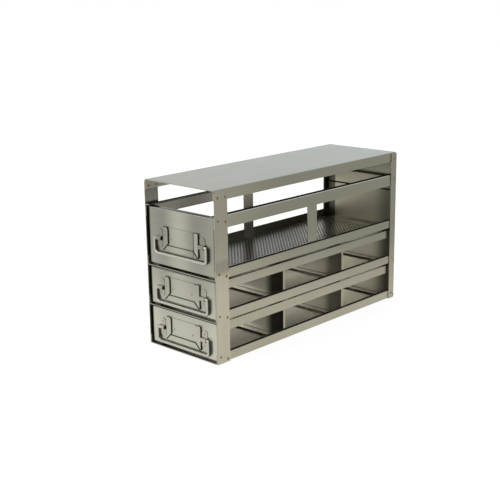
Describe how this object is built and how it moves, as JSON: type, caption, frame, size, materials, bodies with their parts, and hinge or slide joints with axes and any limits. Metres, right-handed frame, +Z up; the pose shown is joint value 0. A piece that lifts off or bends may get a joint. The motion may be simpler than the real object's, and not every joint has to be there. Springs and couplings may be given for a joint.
{
  "type": "freezer drawer rack",
  "caption": "Stainless steel freezer rack of spot-welded sheet with sliding drawers, each with a folded label holder and a swinging rod bail on its front.",
  "frame": {"origin": "centre of the rack's bounding box at the underside of the bottom shelf", "axes": "+Z up, the drawer fronts face -Y, +X is the right side seen from the front"},
  "size_m": [0.1436, 0.4278, 0.25],
  "materials": {
    "cover_sheet": "brushed",
    "frame_sheet": "brushed",
    "front_sheet": "brushed",
    "drawer_sheet": "brushed",
    "perforated_sheet": "mill",
    "label_sheet": "satin",
    "bracket_strap": "satin",
    "bail_rod": "drawn"
  },
  "bodies": {
    "frame": {"top_cover": "cover_sheet", "back_strap": "frame_sheet", "shelf_upper": "frame_sheet", "shelf_middle": "frame_sheet", "shelf_bottom": "frame_sheet", "post_front_left": "frame_sheet", "post_front_right": "frame_sheet", "post_rear_left": "frame_sheet", "post_rear_right": "frame_sheet", "guide_rail_left": "frame_sheet", "guide_rail_right": "frame_sheet"},
    "tall_drawer": {"tall_front_panel": "front_sheet", "tall_back_panel": "drawer_sheet", "tall_rail_left": "drawer_sheet", "tall_rail_right": "drawer_sheet", "tall_runner_left": "drawer_sheet", "tall_runner_right": "drawer_sheet", "tall_label_holder": "label_sheet", "tall_bracket_left": "bracket_strap", "tall_bracket_right": "bracket_strap", "tall_floor": "perforated_sheet", "tall_strut_left": "drawer_sheet", "tall_strut_right": "drawer_sheet"},
    "tall_bail": {"tall_bail": "bail_rod"},
    "middle_drawer": {"middle_front_panel": "front_sheet", "middle_back_panel": "drawer_sheet", "middle_rail_left": "drawer_sheet", "middle_rail_right": "drawer_sheet", "middle_runner_left": "drawer_sheet", "middle_runner_right": "drawer_sheet", "middle_label_holder": "label_sheet", "middle_bracket_left": "bracket_strap", "middle_bracket_right": "bracket_strap", "middle_divider_front": "drawer_sheet", "middle_divider_rear": "drawer_sheet"},
    "middle_bail": {"middle_bail": "bail_rod"},
    "bottom_drawer": {"bottom_front_panel": "front_sheet", "bottom_back_panel": "drawer_sheet", "bottom_rail_left": "drawer_sheet", "bottom_rail_right": "drawer_sheet", "bottom_runner_left": "drawer_sheet", "bottom_runner_right": "drawer_sheet", "bottom_label_holder": "label_sheet", "bottom_bracket_left": "bracket_strap", "bottom_bracket_right": "bracket_strap", "bottom_divider_front": "drawer_sheet", "bottom_divider_rear": "drawer_sheet"},
    "bottom_bail": {"bottom_bail": "bail_rod"}
  },
  "joints": [
    {"name": "tall_slide", "type": "slide", "parent": "frame", "child": "tall_drawer", "axis": [0, -1, 0], "range_m": [0, 0.3]},
    {"name": "tall_bail_pivot", "type": "hinge", "parent": "tall_drawer", "child": "tall_bail", "pos_m": [0, -0.21065, 0.1667], "axis": [-1, 0, 0], "range_deg": [0, 175]},
    {"name": "middle_slide", "type": "slide", "parent": "frame", "child": "middle_drawer", "axis": [0, -1, 0], "range_m": [0, 0.3]},
    {"name": "middle_bail_pivot", "type": "hinge", "parent": "middle_drawer", "child": "middle_bail", "pos_m": [0, -0.21065, 0.09215], "axis": [-1, 0, 0], "range_deg": [0, 175]},
    {"name": "bottom_slide", "type": "slide", "parent": "frame", "child": "bottom_drawer", "axis": [0, -1, 0], "range_m": [0, 0.3]},
    {"name": "bottom_bail_pivot", "type": "hinge", "parent": "bottom_drawer", "child": "bottom_bail", "pos_m": [0, -0.21065, 0.03095], "axis": [-1, 0, 0], "range_deg": [0, 175]}
  ]
}
